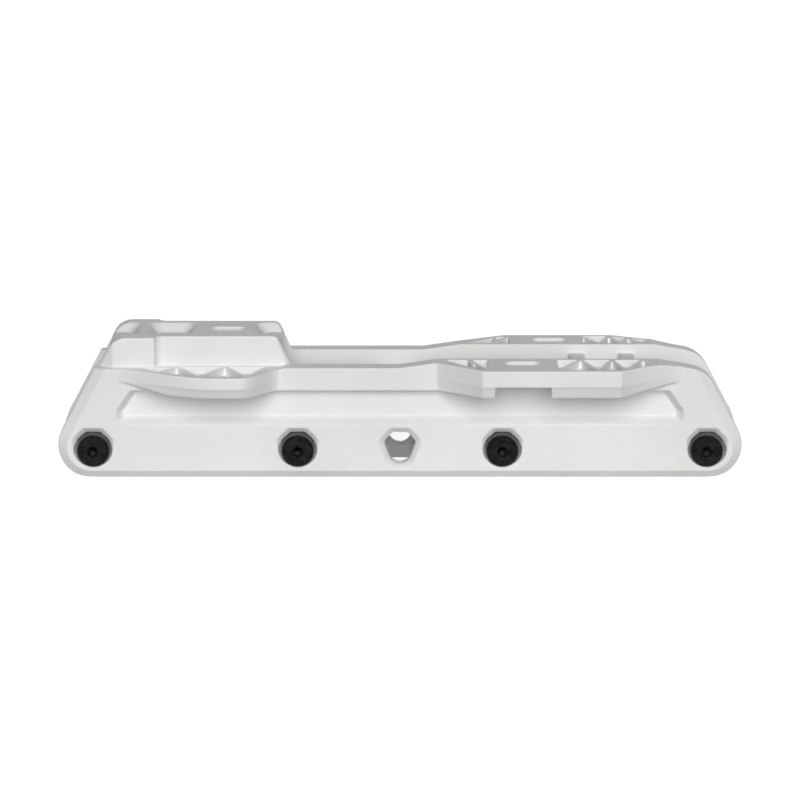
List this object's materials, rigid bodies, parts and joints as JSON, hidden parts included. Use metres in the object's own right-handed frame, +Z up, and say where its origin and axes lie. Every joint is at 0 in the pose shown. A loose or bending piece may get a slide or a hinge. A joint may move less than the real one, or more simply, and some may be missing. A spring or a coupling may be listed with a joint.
{
  "type": "inline skate frame",
  "caption": "Moulded inline skate frame with a three-point boot mount: side walls, staggered toe decks, raised heel block and two-piece axles in bushes",
  "frame": {"origin": "Middle of the bounding box in X and Y, at the bottom edge of the side walls", "axes": "+X to the toe, +Y to the inner side of the foot, +Z up to the boot"},
  "size_m": [0.271, 0.073, 0.0565],
  "materials": {
    "moulded_nylon": "satin moulded white",
    "axle_steel": "black, satin",
    "bush_metal": "satin"
  },
  "bodies": {
    "frame": {"frame_body": "moulded_nylon", "near_bush_1": "bush_metal", "near_bush_2": "bush_metal", "near_bush_3": "bush_metal", "near_bush_4": "bush_metal", "far_bush_1": "bush_metal", "far_bush_2": "bush_metal", "far_bush_3": "bush_metal", "far_bush_4": "bush_metal"},
    "bolt_1": {"axle_bolt_1": "axle_steel"},
    "bolt_2": {"axle_bolt_2": "axle_steel"},
    "bolt_3": {"axle_bolt_3": "axle_steel"},
    "bolt_4": {"axle_bolt_4": "axle_steel"},
    "barrel_1": {"axle_barrel_1": "axle_steel"},
    "barrel_2": {"axle_barrel_2": "axle_steel"},
    "barrel_3": {"axle_barrel_3": "axle_steel"},
    "barrel_4": {"axle_barrel_4": "axle_steel"}
  },
  "joints": [
    {"name": "bolt_1_out", "type": "slide", "parent": "frame", "child": "bolt_1", "axis": [0, -1, 0], "range_m": [0, 0.022]},
    {"name": "bolt_2_out", "type": "slide", "parent": "frame", "child": "bolt_2", "axis": [0, -1, 0], "range_m": [0, 0.022]},
    {"name": "bolt_3_out", "type": "slide", "parent": "frame", "child": "bolt_3", "axis": [0, -1, 0], "range_m": [0, 0.022]},
    {"name": "bolt_4_out", "type": "slide", "parent": "frame", "child": "bolt_4", "axis": [0, -1, 0], "range_m": [0, 0.022]},
    {"name": "barrel_1_out", "type": "slide", "parent": "frame", "child": "barrel_1", "axis": [0, 1, 0], "range_m": [0, 0.042]},
    {"name": "barrel_2_out", "type": "slide", "parent": "frame", "child": "barrel_2", "axis": [0, 1, 0], "range_m": [0, 0.042]},
    {"name": "barrel_3_out", "type": "slide", "parent": "frame", "child": "barrel_3", "axis": [0, 1, 0], "range_m": [0, 0.042]},
    {"name": "barrel_4_out", "type": "slide", "parent": "frame", "child": "barrel_4", "axis": [0, 1, 0], "range_m": [0, 0.042]}
  ]
}
